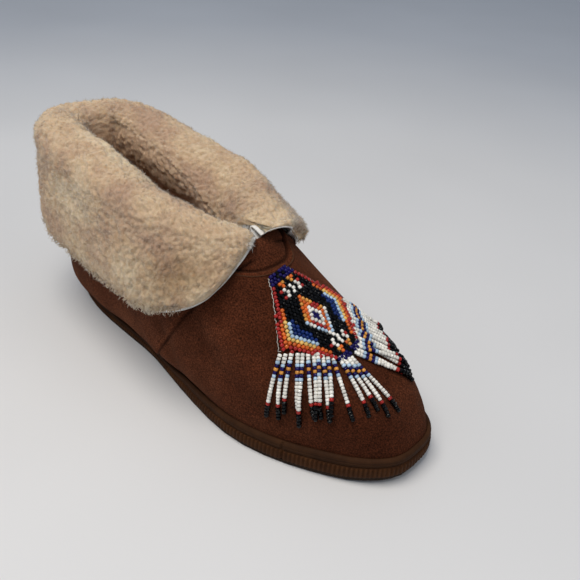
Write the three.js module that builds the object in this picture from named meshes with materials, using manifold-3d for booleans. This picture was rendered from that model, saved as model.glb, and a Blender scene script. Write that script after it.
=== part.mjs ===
// A right-foot moccasin slipper: suede upper on a cemented rubber sole with a ribbed foxing strip,
// a folded-down sheepskin cuff and a beaded ornament with a fringe on the instep.
// Millimetres. +X points to the toe, +Y to the wearer's left (the inner side), +Z up.
// The origin is on the floor, below the middle of the whole slipper's box.
import * as THREE from "three";
import Module from "manifold-3d";

const wasm = await Module();
wasm.setup();

// Driving sizes
const SOLE_BACK = -129.5;
const SOLE_FRONT = 137.5;
const END_ROUNDING = 0.7; // exponent of the rounding at toe and heel; 1 would be an ellipse
const GAP = 0.3; // clearance between pieces that are cemented or sewn together
const FLANGE_RISE = 1.9; // the outsole's bottom plate, which shows below the foxing
const FLANGE_INSET = 1.3;
const FOXING_THICKNESS = 3;
const RIB_PITCH = 2.4;
const RIB_DEPTH = 0.9;
const UPPER_WALL = 2.2;
const SEAM_STEP = 0.7; // the collar band lies this much lower than the vamp below it
const CUFF_GAP = 0.4;
const CUFF_MEETING = 1.2; // half the slit left where the cuff's two front halves press together
const PILE_LUMP = 1.1; // depth of the fleece's uneven locks
const ORNAMENT_GAP = 0.8; // the ornament bridges the flats between the upper's rows of points
const PANEL_THICKNESS = 2.1; // one bead
const STRAND_RADIUS = 1.15;
const STRAND_LENGTH = 39;
const STRAND_SEAT = 2.5; // how far each strand starts inside the panel's edge
const STRANDS_PER_SIDE = 13;
// Slant of the strands away from the ornament's axis, in radians, at its tip and side corner
const STRAND_FANS = [
  { side: -1, tip: 0.12, corner: 1.02 },
  { side: 1, tip: 0.42, corner: 0.8 },
];

// Mesh counts
const COLUMNS = 56; // around the sole and upper, shared so that neighbours run parallel
const CUFF_STATIONS = 39;
const STRAND_SIDES = 5;
const STRAND_STEPS = 4;
const PANEL_COLUMNS = 9;
const EDGE_SAMPLES = 400; // for measuring the sole's edge

// Shares of an outline's length, heel to toe, at which the breadths below are given
const STATIONS = { heel: 0.06, waist: 0.33, shank: 0.5, ball: 0.72, toe: 1 };
const SWING_START = 0.35; // share of the length from which the forefoot swings to the inner side

// The foxing's section from its foot round to its back: distance in from the rib crests, share of
// the height up to the crease, lift, and whether the ribs show there
const FOXING_PROFILE = [
  { inset: 1.2, share: 0, lift: 0, ribbed: false },
  { inset: 0, share: 0, lift: 0.7, ribbed: true },
  { inset: 0, share: 0.52, lift: 0, ribbed: true },
  { inset: 1.7, share: 0.56, lift: 0, ribbed: false },
  { inset: 1.7, share: 0.6, lift: 0, ribbed: false },
  { inset: 0.7, share: 0.66, lift: 0, ribbed: false },
  { inset: 0.6, share: 0.84, lift: 0, ribbed: false },
  { inset: 1.3, share: 0.95, lift: 0, ribbed: false },
  { inset: 2.5, share: 1, lift: 0, ribbed: false },
  { inset: FOXING_THICKNESS, share: 1, lift: -0.2, ribbed: false },
  { inset: FOXING_THICKNESS, share: 0, lift: 0, ribbed: false },
];
// The insole's section from its foot to its top edge, with a small play to the upper's wall
const INSOLE_PROFILE = [
  { inset: 0.2, rise: 0 },
  { inset: 0.2, rise: 3.5 },
  { inset: 2.5, rise: 5 },
];

// Plan of the sole at the crests of its ribs
const SOLE_PLAN = {
  back: { x: SOLE_BACK, z: 0 },
  front: { x: SOLE_FRONT, y: 10, z: 0 },
  lateral: { heel: 38, waist: 32.5, shank: 40, ball: 52, toe: 46 },
  medial: { heel: 38, waist: 29, shank: 33, ball: 46.5, toe: 49 },
};

// Heights along the sole, by share of its length: its underside, the deck under the upper and
// insole, and the crease where the foxing's lip meets the upper
const SOLE_HEIGHTS = [
  { at: 0, underside: 1.5, deck: 6, crease: 8 },
  { at: 0.1, underside: 0, deck: 5.5, crease: 7.5 },
  { at: 0.28, underside: 0, deck: 5.5, crease: 7.5 },
  { at: 0.42, underside: 2, deck: 7, crease: 10 },
  { at: 0.57, underside: 0, deck: 8, crease: 12.5 },
  { at: 0.78, underside: 0, deck: 9, crease: 14.5 },
  { at: 0.9, underside: 1.2, deck: 10.5, crease: 16.5 },
  { at: 1, underside: 4.5, deck: 13, crease: 18.5 },
];

// Closed levels of the upper's outer face above the crease; back and front are their ends at the
// heel and on the ridge of toe and instep
const UPPER_LEVELS = [
  {
    back: { x: -134.5, z: 18 },
    front: { x: 129.5, y: 9.5, z: 28 },
    lateral: { heel: 46, waist: 39, shank: 44, ball: 50, toe: 46 },
    medial: { heel: 45, waist: 37, shank: 40, ball: 48, toe: 48 },
  },
  {
    back: { x: -136.5, z: 44 },
    front: { x: 118.5, y: 8, z: 41 },
    lateral: { heel: 46, waist: 41, shank: 44, ball: 48, toe: 46 },
    medial: { heel: 45, waist: 39, shank: 43, ball: 47, toe: 47 },
  },
  {
    back: { x: -135.5, z: 70 },
    front: { x: 92, y: 4, z: 54.5 },
    lateral: { heel: 45, waist: 40, shank: 43, ball: 46, toe: 44 },
    medial: { heel: 44, waist: 39.5, shank: 43, ball: 46, toe: 44 },
  },
  {
    back: { x: -133, z: 93 },
    front: { x: 66, y: 2, z: 70 },
    lateral: { heel: 44, waist: 39, shank: 41, ball: 43, toe: 41 },
    medial: { heel: 43, waist: 39, shank: 41, ball: 42, toe: 37 },
  },
  {
    back: { x: -131.5, z: 107 },
    front: { x: 42, y: 1, z: 87 },
    lateral: { heel: 43, waist: 38, shank: 39, ball: 40, toe: 38 },
    medial: { heel: 42, waist: 36, shank: 37, ball: 36, toe: 26 },
  },
  {
    back: { x: -131, z: 117 },
    front: { x: 27, y: 0, z: 97 },
    lateral: { heel: 42.5, waist: 37.5, shank: 38, ball: 38, toe: 36 },
    medial: { heel: 41, waist: 35, shank: 35, ball: 34, toe: 25 },
  },
];
// Levels at which the upper's wall has rows of points, below the collar seam and above it
const VAMP_ROWS = [0, 1, 1.4, 2, 2.5, 3, 3.5, 4, 4.5, 5, 5.5];
const BAND_ROWS = [6.5, 7];
const SEAM_WIDTH = 0.08; // in levels
const CREASE_LEVEL = 1; // level 0 is the foot of the wall, level 1 the crease, then the table
const COLLAR_LEVEL = UPPER_LEVELS.length + 1;
const SEAM_LEVEL = COLLAR_LEVEL - 1;

// The cuff from the heel (at 0) to its front ends (at 1): turn of the fold and thickness of the
// pile on the lining side
const CUFF_FOLDS = [
  { at: 0, fold: 0, lining: 14 },
  { at: 0.3, fold: 70, lining: 18.5 },
  { at: 0.6, fold: 120, lining: 23 },
  { at: 0.85, fold: 152, lining: 23 },
  { at: 1, fold: 178.5, lining: 22 },
];
// Each side's flap: turn of the hem, the level it hangs to, how far the hem stands off the upper,
// how far the skin arches off it between fold and hem, the pile's thickness, the fold's rise above
// the collar and the loop of the skin inside it
const CUFF_SIDES = {
  outer: [
    { at: 0, hem: 0, level: 3.2, stand: 2, arch: 0, pile: 12, rise: 9.5, loop: 0.4 },
    { at: 0.3, hem: 62, level: 3.5, stand: 3, arch: 0, pile: 11.5, rise: 18, loop: 0.4 },
    { at: 0.6, hem: 95, level: 3.85, stand: 4, arch: 0, pile: 11, rise: 25, loop: 0.4 },
    { at: 0.85, hem: 117, level: 4.55, stand: 6, arch: 0, pile: 10, rise: 26, loop: 0.4 },
    { at: 1, hem: 137, level: 5.35, stand: 7, arch: 0, pile: 8, rise: 11, loop: 0.4 },
  ],
  inner: [
    { at: 0, hem: 0, level: 3.2, stand: 2, arch: 0, pile: 12, rise: 9.5, loop: 0.4 },
    { at: 0.3, hem: 62, level: 3.5, stand: 3, arch: 0, pile: 11.5, rise: 9.5, loop: 0.4 },
    { at: 0.6, hem: 93, level: 3.85, stand: 3, arch: 0, pile: 11, rise: 11, loop: 0.4 },
    { at: 0.85, hem: 114, level: 4.6, stand: 1.5, arch: 3, pile: 9, rise: 16, loop: 1.6 },
    { at: 1, hem: 130, level: 5.6, stand: 0.5, arch: 9.5, pile: 5, rise: 16, loop: 7 },
  ],
};
// Points up the cuff's flap as shares of its drop, with the share of the pile's thickness there
const FLAP_ROWS = [
  { drop: 1, pile: 0.45 },
  { drop: 0.93, pile: 0.85 },
  { drop: 0.76, pile: 1 },
  { drop: 0.58, pile: 1 },
  { drop: 0.4, pile: 1 },
  { drop: 0.2, pile: 1 },
  { drop: 0, pile: 1 },
];
const FOLD_STEPS = 5;
const LINING_ROWS = [7, 6.6, 6]; // levels of the cuff's inner leg
const STAND_EASE = 1.5; // exponent by which the flap leaves the upper towards its hem
const ARCH_EASE = 0.5; // below 1 it brings the top of the arch towards the fold
const HEM_RAGGEDNESS = 0.025; // as a share of the flap's drop
const HEM_SEED = 31;
const FOLD_SEED = 11;

// The beaded panel, in a flat chart on the instep: half breadth by distance from its upper end
const PANEL_ROWS = [
  { down: 2.5, half: 5.5 },
  { down: 9, half: 8.5 },
  { down: 15, half: 12.5 },
  { down: 21, half: 16.5 },
  { down: 28, half: 21 },
  { down: 34, half: 25 },
  { down: 41, half: 20 },
  { down: 48, half: 15 },
  { down: 55, half: 10 },
  { down: 62, half: 5 },
];
const PANEL_CORNER = 5; // the row with the panel's side corners
// The ends of the chart's middle line, turned a little towards the inner side at the toe
const PANEL_TOP = new THREE.Vector3(42, -4.2, 87);
const PANEL_TIP = new THREE.Vector3(92, 4.5, 54.5);

// Cubic through rows (ats[i], values[i]) with Catmull-Rom slopes
function curveAt(ats, values, at) {
  let i = 0;
  while (i < ats.length - 2 && at > ats[i + 1]) i += 1;
  const slope = (k) => {
    const a = Math.max(k - 1, 0);
    const b = Math.min(k + 1, ats.length - 1);
    return (values[b] - values[a]) / (ats[b] - ats[a]);
  };
  const span = ats[i + 1] - ats[i];
  const s = (at - ats[i]) / span;
  const [s2, s3] = [s * s, s * s * s];
  return (2 * s3 - 3 * s2 + 1) * values[i] + (s3 - 2 * s2 + s) * span * slope(i)
    + (3 * s2 - 2 * s3) * values[i + 1] + (s3 - s2) * span * slope(i + 1);
}

const columnAt = (table, key, at) => curveAt(table.map((row) => row.at), table.map((row) => row[key]), at);

// Sole heights ease from row to row, so that equal neighbours leave a true flat between them
function soleHeight(key, x) {
  const share = THREE.MathUtils.clamp((x - SOLE_BACK) / (SOLE_FRONT - SOLE_BACK), 0, 1);
  let i = 0;
  while (i < SOLE_HEIGHTS.length - 2 && share > SOLE_HEIGHTS[i + 1].at) i += 1;
  const [low, high] = [SOLE_HEIGHTS[i], SOLE_HEIGHTS[i + 1]];
  return THREE.MathUtils.lerp(low[key], high[key], THREE.MathUtils.smoothstep(share, low.at, high.at));
}

// A point of a level at turn phi: 0 at the heel, pi at the toe, the outer side first
function levelPoint(level, phi) {
  const share = (1 - Math.cos(phi)) / 2;
  const sine = Math.sin(phi);
  const breadths = sine >= 0 ? level.lateral : level.medial;
  const breadth = curveAt(Object.values(STATIONS), Object.values(breadths), share);
  const half = Math.sign(sine) * Math.abs(sine) ** END_ROUNDING * breadth;
  const swing = level.front.y * THREE.MathUtils.smoothstep(share, SWING_START, 1);
  return new THREE.Vector3(
    THREE.MathUtils.lerp(level.back.x, level.front.x, share),
    swing - half,
    THREE.MathUtils.lerp(level.back.z, level.front.z, share),
  );
}

// The sole's plan moved inwards by inset, at height rise above the named row of heights
function solePoint(phi, inset, key, rise) {
  const step = 0.01;
  const along = levelPoint(SOLE_PLAN, phi + step).sub(levelPoint(SOLE_PLAN, phi - step)).normalize();
  const point = levelPoint(SOLE_PLAN, phi);
  point.x -= along.y * inset;
  point.y += along.x * inset;
  point.z = soleHeight(key, point.x) + rise;
  return point;
}

// Levels 0 and 1 of the upper stand inside the foxing
function footPoint(phi, level) {
  const point = solePoint(phi, FOXING_THICKNESS + GAP, "deck", GAP);
  point.z = THREE.MathUtils.lerp(point.z, soleHeight("crease", point.x), level);
  return point;
}

const LEVEL_NUMBERS = [...Array(COLLAR_LEVEL + 1).keys()];

// The upper's outer face at turn phi and level v
function outerPoint(phi, v) {
  const rows = LEVEL_NUMBERS.map((k) =>
    (k <= CREASE_LEVEL ? footPoint(phi, k) : levelPoint(UPPER_LEVELS[k - 2], phi)));
  const at = (axis) => curveAt(LEVEL_NUMBERS, rows.map((p) => p[axis]), v);
  return new THREE.Vector3(at("x"), at("y"), at("z"));
}

function outerSlopes(phi, v) {
  const step = 0.02;
  const low = Math.max(v - step, 0);
  const high = Math.min(v + step, COLLAR_LEVEL);
  return {
    around: outerPoint(phi + step, v).sub(outerPoint(phi - step, v)).divideScalar(2 * step),
    up: outerPoint(phi, high).sub(outerPoint(phi, low)).divideScalar(high - low),
  };
}

function outerNormal(phi, v) {
  const { around, up } = outerSlopes(phi, v);
  return around.cross(up).normalize();
}

// A point off the upper's outer face by distance; negative is inside
const offPoint = (phi, v, distance) =>
  outerPoint(phi, v).addScaledVector(outerNormal(phi, v), distance);

const turns = (count) => Array.from({ length: count }, (_, i) => (2 * Math.PI * i) / count);

// Joins closed rings of any counts into bands of triangles
class Bands {
  constructor() {
    this.points = [];
    this.index = [];
  }

  // Points of a ring at equal turns, unless the list carries turns of its own
  ring(points) {
    const start = this.points.length;
    this.points.push(...points);
    const ends = [...(points.turns ?? turns(points.length)), 2 * Math.PI];
    return { start, count: points.length, ends };
  }

  // The band from one ring to the next, advancing on whichever ring lags behind
  band(low, high) {
    let [i, j] = [0, 0];
    while (i < low.count || j < high.count) {
      const a = low.start + (i % low.count);
      const b = high.start + (j % high.count);
      const lowFirst = j >= high.count || low.ends[i + 1] <= high.ends[j + 1];
      if (i < low.count && lowFirst) {
        i += 1;
        this.index.push(a, low.start + (i % low.count), b);
      } else {
        j += 1;
        this.index.push(a, high.start + (j % high.count), b);
      }
    }
  }

  // A cap of strips across a ring that is symmetric in its numbering
  cap(ring, facesUp) {
    const n = ring.count;
    const at = (i) => ring.start + (i % n);
    const put = (a, b, c) => this.index.push(...(facesUp ? [a, b, c] : [a, c, b]));
    for (let i = 0; i < n / 2; i += 1) {
      if (i > 0) put(at(i), at(n - i - 1), at(n - i));
      if (i < n / 2 - 1) put(at(i), at(i + 1), at(n - i - 1));
    }
  }

  // A cap across a ring that runs out along one face and back along the other
  pairedCap(ring, atEnd) {
    for (let i = 0; i < ring.count / 2 - 1; i += 1) {
      const [a, b] = [ring.start + i, ring.start + i + 1];
      const [c, d] = [ring.start + ring.count - 2 - i, ring.start + ring.count - 1 - i];
      this.index.push(...(atEnd ? [a, b, c, a, c, d] : [a, c, b, a, d, c]));
    }
  }

  geometry() {
    const geometry = new THREE.BufferGeometry();
    const positions = this.points.flatMap((p) => [p.x, p.y, p.z]);
    geometry.setAttribute("position", new THREE.Float32BufferAttribute(positions, 3));
    geometry.setIndex(this.index);
    return geometry;
  }
}

// A closed skin from rings, the last joined to the first
function loopedRings(ringPoints) {
  const bands = new Bands();
  const rings = ringPoints.map((points) => bands.ring(points));
  rings.forEach((ring, r) => bands.band(ring, rings[(r + 1) % rings.length]));
  return bands.geometry();
}

// A closed skin from rings, with strip caps on the first and last
function cappedRings(ringPoints) {
  const bands = new Bands();
  const rings = ringPoints.map((points) => bands.ring(points));
  rings.slice(1).forEach((ring, r) => bands.band(rings[r], ring));
  bands.cap(rings[0], false);
  bands.cap(rings.at(-1), true);
  return bands.geometry();
}

// A closed skin swept through sections that run out along one face and back along the other, so
// that point i of a section lies across from its last point but i
function pairedSweep(sections) {
  const bands = new Bands();
  const rings = sections.map((points) => bands.ring(points));
  rings.slice(1).forEach((ring, r) => bands.band(rings[r], ring));
  bands.pairedCap(rings[0], false);
  bands.pairedCap(rings.at(-1), true);
  return bands.geometry();
}

function makeOutsole() {
  const ring = (inset, key, rise) => turns(COLUMNS).map((phi) => solePoint(phi, inset, key, rise));
  const core = FOXING_THICKNESS + GAP;
  return cappedRings([
    ring(FLANGE_INSET, "underside", 0),
    ring(FLANGE_INSET, "underside", FLANGE_RISE),
    ring(core, "underside", FLANGE_RISE),
    ring(core, "deck", 0),
  ]);
}

function makeInsole() {
  const edge = FOXING_THICKNESS + GAP + UPPER_WALL + GAP;
  const ring = ({ inset, rise }) =>
    turns(COLUMNS).map((phi) => solePoint(phi, edge + inset, "deck", GAP + rise));
  return cappedRings(INSOLE_PROFILE.map(ring));
}

// Turns at equal steps along the sole's outer edge
function equalTurns(count) {
  const fine = turns(4 * count);
  const points = fine.map((phi) => levelPoint(SOLE_PLAN, phi));
  const lengths = [0];
  points.forEach((p, i) => lengths.push(lengths[i] + p.distanceTo(points[(i + 1) % points.length])));
  let k = 0;
  return Array.from({ length: count }, (_, i) => {
    const wanted = (lengths.at(-1) * i) / count;
    while (lengths[k + 1] < wanted) k += 1;
    const part = (wanted - lengths[k]) / (lengths[k + 1] - lengths[k]);
    return ((k + part) * 2 * Math.PI) / fine.length;
  });
}

function soleEdgeLength() {
  const points = turns(EDGE_SAMPLES).map((phi) => levelPoint(SOLE_PLAN, phi));
  return points.reduce((sum, p, i) => sum + p.distanceTo(points[(i + 1) % points.length]), 0);
}

// The ribbed strip around the sole: ribs below, a groove, and a smooth rounded lip to the crease
function makeFoxing() {
  const ribColumns = 2 * Math.round(soleEdgeLength() / RIB_PITCH);
  const ribTurns = equalTurns(ribColumns);
  const at = (phi, inset, share, rise) => {
    const point = solePoint(phi, inset, "underside", FLANGE_RISE + GAP + rise);
    point.z = THREE.MathUtils.lerp(point.z, soleHeight("crease", point.x), share);
    return point;
  };
  const ring = ({ inset, share, lift, ribbed }) => {
    if (!ribbed) return turns(COLUMNS).map((phi) => at(phi, inset, share, lift));
    const points = ribTurns.map((phi, i) => at(phi, inset + (i % 2) * RIB_DEPTH, share, lift));
    return Object.assign(points, { turns: ribTurns });
  };
  return loopedRings(FOXING_PROFILE.map(ring));
}

// The suede upper: one wall, open at the collar and underneath, with a step at the collar seam
function makeUpper() {
  const ring = (v, depth) => turns(COLUMNS).map((phi) => offPoint(phi, v, -depth));
  const vamp = [...VAMP_ROWS, SEAM_LEVEL].map((v) => ring(v, 0));
  const band = [SEAM_LEVEL + SEAM_WIDTH, ...BAND_ROWS].map((v) => ring(v, SEAM_STEP));
  const inside = [...VAMP_ROWS.slice(1), SEAM_LEVEL, ...BAND_ROWS].map((v) => ring(v, UPPER_WALL));
  const innerFoot = turns(COLUMNS).map((phi) =>
    solePoint(phi, FOXING_THICKNESS + GAP + UPPER_WALL, "deck", GAP));
  return loopedRings([...vamp, ...band, ...inside.reverse(), innerFoot]);
}

// A repeatable uneven value from -1 to 1 for lock (i, j) of the fleece
function unevenness(i, j) {
  const value = Math.sin(12.9898 * i + 78.233 * j) * 43758.5453;
  return 2 * (value - Math.floor(value)) - 1;
}

// One section of the cuff, from the hem over the fold to the end of its inner leg: the pile's
// face, then the skin's face back again
function cuffSection(station) {
  const along = (2 * station) / (CUFF_STATIONS - 1) - 1;
  const side = Math.sign(along);
  const row = (key) => columnAt(CUFF_FOLDS, key, Math.abs(along));
  const sideRow = (key) => columnAt(side < 0 ? CUFF_SIDES.outer : CUFF_SIDES.inner, key, Math.abs(along));
  const turnAt = (drop) =>
    -side * THREE.MathUtils.degToRad(THREE.MathUtils.lerp(row("fold"), sideRow("hem"), drop));
  const levelAtDrop = (drop) => THREE.MathUtils.lerp(COLLAR_LEVEL, sideRow("level"), drop);
  const pileFace = [];
  const skinFace = [];
  FLAP_ROWS.forEach(({ drop, pile }, j) => {
    const raggedDrop = j === 0 ? drop + HEM_RAGGEDNESS * unevenness(station, HEM_SEED) : drop;
    const arch = sideRow("arch") * Math.sin(Math.PI * drop ** ARCH_EASE);
    const stand = CUFF_GAP + sideRow("stand") * drop ** STAND_EASE + arch;
    const lump = PILE_LUMP * unevenness(station, j);
    const thickness = sideRow("pile") * pile + lump;
    pileFace.push(offPoint(turnAt(drop), levelAtDrop(raggedDrop), stand + thickness));
    skinFace.push(offPoint(turnAt(drop), levelAtDrop(drop), stand));
  });
  const edge = outerPoint(turnAt(0), COLLAR_LEVEL);
  const normal = outerNormal(turnAt(0), COLLAR_LEVEL);
  const up = outerSlopes(turnAt(0), COLLAR_LEVEL).up.normalize();
  const inner = -UPPER_WALL - CUFF_GAP;
  for (let k = 1; k < FOLD_STEPS; k += 1) {
    const angle = (Math.PI * k) / FOLD_STEPS;
    const arc = (outerEnd, innerEnd, rise) => edge.clone()
      .addScaledVector(normal, THREE.MathUtils.lerp(innerEnd, outerEnd, (1 + Math.cos(angle)) / 2))
      .addScaledVector(up, rise * Math.sin(angle));
    const lump = PILE_LUMP * unevenness(station, FOLD_SEED + k);
    pileFace.push(arc(CUFF_GAP + sideRow("pile"), inner - row("lining"), sideRow("rise") + lump));
    skinFace.push(arc(CUFF_GAP, inner, sideRow("loop")));
  }
  LINING_ROWS.forEach((v) => {
    pileFace.push(offPoint(turnAt(0), v, inner - row("lining")));
    skinFace.push(offPoint(turnAt(0), v, inner));
  });
  pileFace.forEach((point) => {
    point.y = side * Math.max(side * point.y, CUFF_MEETING);
  });
  return [...pileFace, ...skinFace.reverse()];
}

// The sheepskin cuff, swept from its outer front end round the heel to its inner front end
function makeCuff() {
  return pairedSweep(Array.from({ length: CUFF_STATIONS }, (_, i) => cuffSection(i)));
}

const CHART_DOWN = PANEL_TIP.clone().sub(PANEL_TOP).normalize();
const CHART_ACROSS = new THREE.Vector3(0, 1, 0).projectOnPlane(CHART_DOWN).normalize();
const CHART_PASSES = 12;
const ACROSS_PER_TURN = 40; // rough sizes of one radian and one level there, to start from
const DOWN_PER_LEVEL = 30;

// Turn and level of the upper's point that lies at (across, down) in the ornament's flat chart
function chartTurn(across, down) {
  let phi = Math.PI + across / ACROSS_PER_TURN;
  let v = SEAM_LEVEL - down / DOWN_PER_LEVEL;
  for (let pass = 0; pass < CHART_PASSES; pass += 1) {
    const off = outerPoint(phi, v).sub(PANEL_TOP);
    const { around, up } = outerSlopes(phi, v);
    const [a, b] = [around.dot(CHART_ACROSS), up.dot(CHART_ACROSS)];
    const [c, d] = [around.dot(CHART_DOWN), up.dot(CHART_DOWN)];
    const missAcross = across - off.dot(CHART_ACROSS);
    const missDown = down - off.dot(CHART_DOWN);
    const det = a * d - b * c;
    phi += (d * missAcross - b * missDown) / det;
    v += (a * missDown - c * missAcross) / det;
  }
  return { phi, v };
}

function chartPoint(across, down, height) {
  const { phi, v } = chartTurn(across, down);
  return offPoint(phi, v, height);
}

function solidFrom(geometry) {
  return new wasm.Manifold(new wasm.Mesh({
    numProp: 3,
    vertProperties: new Float32Array(geometry.getAttribute("position").array),
    triVerts: new Uint32Array(geometry.getIndex().array),
  }));
}

function geometryFrom(solid) {
  const mesh = solid.getMesh();
  const geometry = new THREE.BufferGeometry();
  geometry.setAttribute("position", new THREE.Float32BufferAttribute(mesh.vertProperties, 3));
  geometry.setIndex([...mesh.triVerts]);
  return geometry;
}

function makePanel() {
  const sections = PANEL_ROWS.map(({ down, half }) => {
    const line = (height) => Array.from({ length: PANEL_COLUMNS }, (_, i) =>
      chartPoint(half * (1 - (2 * i) / (PANEL_COLUMNS - 1)), down, height));
    return [...line(ORNAMENT_GAP + PANEL_THICKNESS), ...line(ORNAMENT_GAP).reverse()];
  });
  return pairedSweep(sections);
}

// Turn and level reached by walking straight ahead on the upper's face
function walk(from, ahead, distance) {
  const { around, up } = outerSlopes(from.phi, from.v);
  const normal = around.clone().cross(up).normalize();
  const heading = ahead.clone().projectOnPlane(normal).normalize();
  const [aa, uu, au] = [around.lengthSq(), up.lengthSq(), around.dot(up)];
  const [ha, hu] = [heading.dot(around), heading.dot(up)];
  const det = aa * uu - au * au;
  return {
    phi: from.phi + (distance * (ha * uu - hu * au)) / det,
    v: from.v + (distance * (hu * aa - ha * au)) / det,
    heading,
    normal,
  };
}

// One strand of the fringe: a tube that lies on the instep from the panel's lower edge
function makeStrand(across, down, slant) {
  const bands = new Bands();
  let spot = chartTurn(across, down);
  let heading = CHART_DOWN.clone().multiplyScalar(Math.cos(slant));
  heading.addScaledVector(CHART_ACROSS, Math.sin(slant));
  const rings = Array.from({ length: STRAND_STEPS + 1 }, (_, i) => {
    const next = walk(spot, heading, i < STRAND_STEPS ? STRAND_LENGTH / STRAND_STEPS : 0);
    const centre = offPoint(spot.phi, spot.v, ORNAMENT_GAP + STRAND_RADIUS);
    const side = next.normal.clone().cross(next.heading);
    spot = next;
    heading = next.heading;
    return bands.ring(turns(STRAND_SIDES).map((turn) => centre.clone()
      .addScaledVector(side, STRAND_RADIUS * Math.cos(turn))
      .addScaledVector(next.normal, STRAND_RADIUS * Math.sin(turn))));
  });
  rings.slice(1).forEach((ring, r) => bands.band(rings[r], ring));
  const [first, last] = [rings[0].start, rings.at(-1).start];
  for (let i = 1; i < STRAND_SIDES - 1; i += 1) {
    bands.index.push(first, first + i + 1, first + i);
    bands.index.push(last, last + i, last + i + 1);
  }
  return bands.geometry();
}

// The beaded ornament: panel and fringe in one piece
function makeOrnament() {
  const corner = PANEL_ROWS[PANEL_CORNER];
  const end = PANEL_ROWS.at(-1);
  const strands = [];
  STRAND_FANS.forEach((fan) => {
    for (let k = 0; k < STRANDS_PER_SIDE; k += 1) {
      const share = (k + 0.5) / STRANDS_PER_SIDE;
      const across = fan.side * THREE.MathUtils.lerp(corner.half - STRAND_SEAT, 0, share);
      const down = THREE.MathUtils.lerp(corner.down, end.down - STRAND_SEAT, share);
      const slant = fan.side * THREE.MathUtils.lerp(fan.corner, fan.tip, share);
      strands.push(solidFrom(makeStrand(across, down, slant)));
    }
  });
  return geometryFrom(wasm.Manifold.union([solidFrom(makePanel()), ...strands]));
}

const slipper = new THREE.Group();
slipper.name = "moccasin_slipper";

function add(name, geometry, color, roughness) {
  const mesh = new THREE.Mesh(geometry, new THREE.MeshStandardMaterial({ color, roughness, metalness: 0 }));
  mesh.name = name;
  slipper.add(mesh);
}

add("outsole", makeOutsole(), "#3a3226", 0.8);
add("foxing", makeFoxing(), "#4b4130", 0.7);
add("upper", makeUpper(), "#5a3020", 0.95);
add("insole", makeInsole(), "#c9b08f", 0.95);
add("cuff", makeCuff(), "#d8c2a0", 1);
add("bead_ornament", makeOrnament(), "#b23a2a", 0.25);

const box = new THREE.Box3().setFromObject(slipper);
slipper.children.forEach((mesh) => {
  mesh.geometry.translate(-(box.min.x + box.max.x) / 2, -(box.min.y + box.max.y) / 2, -box.min.z);
});

export default slipper;
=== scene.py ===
# A right-foot moccasin slipper dressed for its photograph: suede, sheepskin, rubber and seed beads.
# Sizes are in millimetres in the slipper's own tables and become metres when a mesh is made.
import math

import bpy
import numpy as np
from mathutils import Matrix, Vector, noise


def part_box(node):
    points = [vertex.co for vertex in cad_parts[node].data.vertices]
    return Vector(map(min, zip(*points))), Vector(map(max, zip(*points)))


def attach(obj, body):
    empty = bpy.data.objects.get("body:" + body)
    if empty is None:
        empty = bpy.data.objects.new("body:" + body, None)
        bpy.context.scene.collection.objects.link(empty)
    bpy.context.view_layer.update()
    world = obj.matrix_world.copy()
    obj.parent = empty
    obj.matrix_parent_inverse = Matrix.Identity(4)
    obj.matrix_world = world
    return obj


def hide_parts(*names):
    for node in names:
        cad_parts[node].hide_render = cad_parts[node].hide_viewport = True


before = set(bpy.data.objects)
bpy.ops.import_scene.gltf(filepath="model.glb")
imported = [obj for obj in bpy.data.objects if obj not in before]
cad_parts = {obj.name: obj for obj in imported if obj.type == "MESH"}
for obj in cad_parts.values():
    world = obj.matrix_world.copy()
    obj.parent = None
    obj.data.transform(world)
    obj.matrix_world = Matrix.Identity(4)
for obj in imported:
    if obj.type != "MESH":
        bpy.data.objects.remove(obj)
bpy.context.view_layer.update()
rng = np.random.default_rng(41)
MM = 0.001

# Sizes and tables of the source, repeated so that the dressed pieces follow the same forms
SOLE_BACK = -129.5
SOLE_FRONT = 137.5
END_ROUNDING = 0.7
GAP = 0.3
FLANGE_RISE = 1.9
FLANGE_INSET = 1.3
FOXING_THICKNESS = 3
RIB_PITCH = 2.4
RIB_DEPTH = 0.9
UPPER_WALL = 2.2
SEAM_STEP = 0.7
INSOLE_RISE = 5
CUFF_GAP = 0.4
CUFF_MEETING = 1.2
ORNAMENT_GAP = 0.8
STRAND_SEAT = 2.5
OUTSOLE_COLUMNS = 56
# Slants of the ornament's strands off its axis, from the side corner to the tip. The source has fewer
# strands, as plain rods.
OUTER_SLANTS = (
    -1.12, -1.08, -1.0, -0.81, -0.83, -0.76, -0.65, -0.74, -0.68, -0.66, -0.58, -0.28, -0.22, -0.14, -0.08)
INNER_SLANTS = (0.84, 0.8, 0.77, 0.7, 0.69, 0.66, 0.64, 0.6, 0.6, 0.56, 0.53, 0.5, 0.48, 0.44, 0.43)
STATIONS = (0.06, 0.33, 0.5, 0.72, 1)

# Each level: back x, back z, front x, front y, front z, then breadths at heel, waist, shank,
# ball and toe for the outer side and for the inner side
SOLE_PLAN = (SOLE_BACK, 0, SOLE_FRONT, 10, 0, (38, 32.5, 40, 52, 46), (38, 29, 33, 46.5, 49))
UPPER_LEVELS = (
    (-134.5, 18, 129.5, 9.5, 28, (46, 39, 44, 50, 46), (45, 37, 40, 48, 48)),
    (-136.5, 44, 118.5, 8, 41, (46, 41, 44, 48, 46), (45, 39, 43, 47, 47)),
    (-135.5, 70, 92, 4, 54.5, (45, 40, 43, 46, 44), (44, 39.5, 43, 46, 44)),
    (-133, 93, 66, 2, 70, (44, 39, 41, 43, 41), (43, 39, 41, 42, 37)),
    (-131.5, 107, 42, 1, 87, (43, 38, 39, 40, 38), (42, 36, 37, 36, 26)),
    (-131, 117, 27, 0, 97, (42.5, 37.5, 38, 38, 36), (41, 35, 35, 34, 25)),
)
COLLAR_LEVEL = len(UPPER_LEVELS) + 1
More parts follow.
